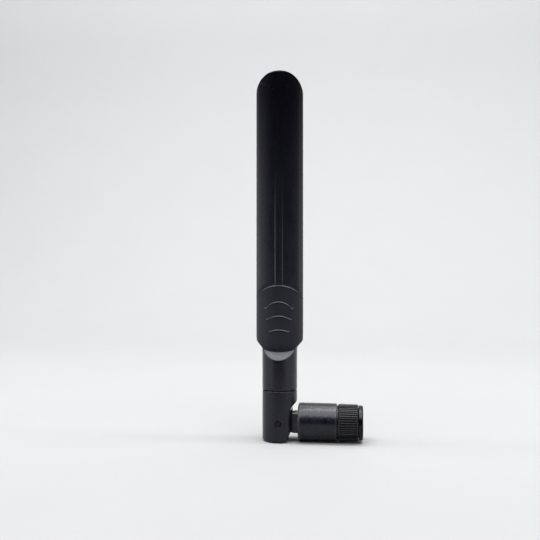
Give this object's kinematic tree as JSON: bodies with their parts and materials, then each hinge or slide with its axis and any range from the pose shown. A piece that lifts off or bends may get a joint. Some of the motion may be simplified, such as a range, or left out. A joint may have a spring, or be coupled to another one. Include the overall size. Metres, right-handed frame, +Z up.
{
  "type": "articulated paddle antenna",
  "caption": "Black omnidirectional paddle antenna with a folding hinge, a swivel barrel and a knurled coupling nut over a threaded coaxial plug.",
  "frame": {"origin": "on the plug's axis, at the mouth of its ground sleeve", "axes": "+X along the plug's axis, out of its mouth; +Z up along the paddle, which is folded 90 degrees to the plug at rest"},
  "size_m": [0.0442, 0.0156, 0.1525],
  "materials": {
    "shell_black": "fine matte grain",
    "hinge_black": "fine spark-eroded grain",
    "grip_black": "semi-gloss moulded",
    "nut_black": "glossy black plating",
    "brass": "turned",
    "gold": "gold plated",
    "pin_black": "blackened steel",
    "steel": "stamped spring steel",
    "ptfe": "waxy",
    "nylon": "natural nylon",
    "rubber": "smooth",
    "cable_jacket": "brown fluoropolymer jacket",
    "board": "solder-masked laminate",
    "copper": "bare copper",
    "solder": "solidified solder",
    "foam": "closed-cell foam"
  },
  "bodies": {
    "connector": {"connector_core": "brass", "swivel_clip": "steel", "nut_snap_ring": "steel", "swivel_oring": "rubber", "weather_gasket": "rubber", "outer_contact": "gold", "insulator": "ptfe", "centre_contact": "gold", "crimp_ferrule": "brass", "coax_connector_end": "cable_jacket"},
    "nut": {"coupling_nut": "nut_black", "nut_grip": "grip_black"},
    "swivel": {"hinge_knuckle": "hinge_black", "swivel_housing": "hinge_black"},
    "antenna": {"radome_sleeve": "shell_black", "base_housing": "shell_black", "hinge_yoke": "hinge_black", "hinge_pin_front": "pin_black", "hinge_pin_rear": "pin_black", "hinge_washer_front": "nylon", "hinge_washer_rear": "nylon", "coax_hinge_bend": "cable_jacket", "coax_antenna_end": "cable_jacket", "coax_grommet": "rubber", "antenna_board": "board", "radiator_upper": "copper", "radiator_lower": "copper", "solder_joints": "solder", "board_pads": "foam"}
  },
  "joints": [
    {"name": "swivel", "type": "hinge", "parent": "connector", "child": "swivel", "pos_m": [-0.0175, 0, 0], "axis": [1, 0, 0], "range_deg": [-170, 170]},
    {"name": "tilt", "type": "hinge", "parent": "swivel", "child": "antenna", "pos_m": [-0.0332, 0, 0], "axis": [0, -1, 0], "range_deg": [0, 90], "deforming": ["coax_hinge_bend"]},
    {"name": "nut_spin", "type": "hinge", "parent": "connector", "child": "nut", "pos_m": [-0.004, 0, 0], "axis": [1, 0, 0], "continuous": true}
  ]
}
